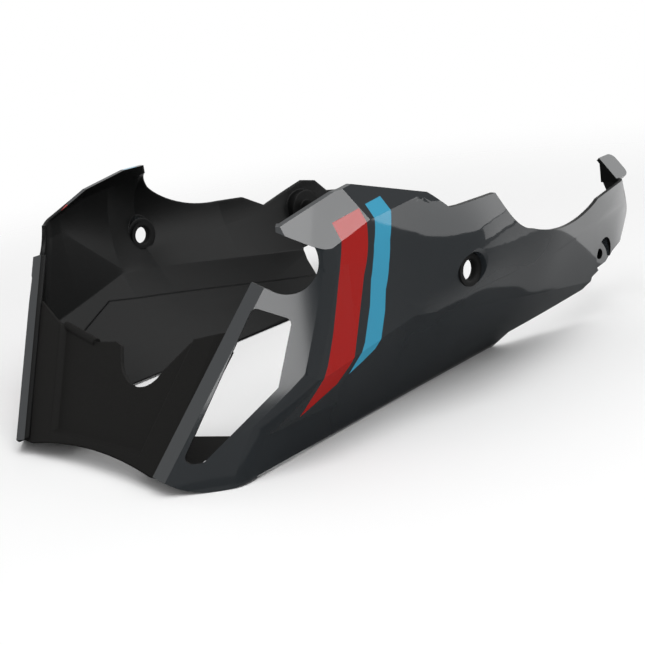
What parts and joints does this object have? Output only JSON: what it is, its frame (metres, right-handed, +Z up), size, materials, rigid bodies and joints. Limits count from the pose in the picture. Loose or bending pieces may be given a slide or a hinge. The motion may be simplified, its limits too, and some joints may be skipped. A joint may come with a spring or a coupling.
{
  "type": "motorcycle belly pan",
  "caption": "Open-bottomed belly pan: two creased glossy side panels with front windows and bolt points, joined at the nose by a matt black recessed centre panel.",
  "frame": {"origin": "under the middle of the pan, on the surface that it stands on", "axes": "+X rearwards along the motorcycle, +Y to the rider's right, +Z up"},
  "size_m": [0.4343, 0.352, 0.1614],
  "materials": {
    "panel_gloss": "glossy dark grey lacquer",
    "panel_black": "matt black moulding",
    "grommet_rubber": "black rubber",
    "screw_steel": "plain zinc"
  },
  "bodies": {
    "root": {"left_side_panel": "panel_gloss", "right_side_panel": "panel_gloss", "front_centre_panel": "panel_black", "mount_grommets": "grommet_rubber", "joint_screws": "screw_steel"}
  },
  "joints": []
}
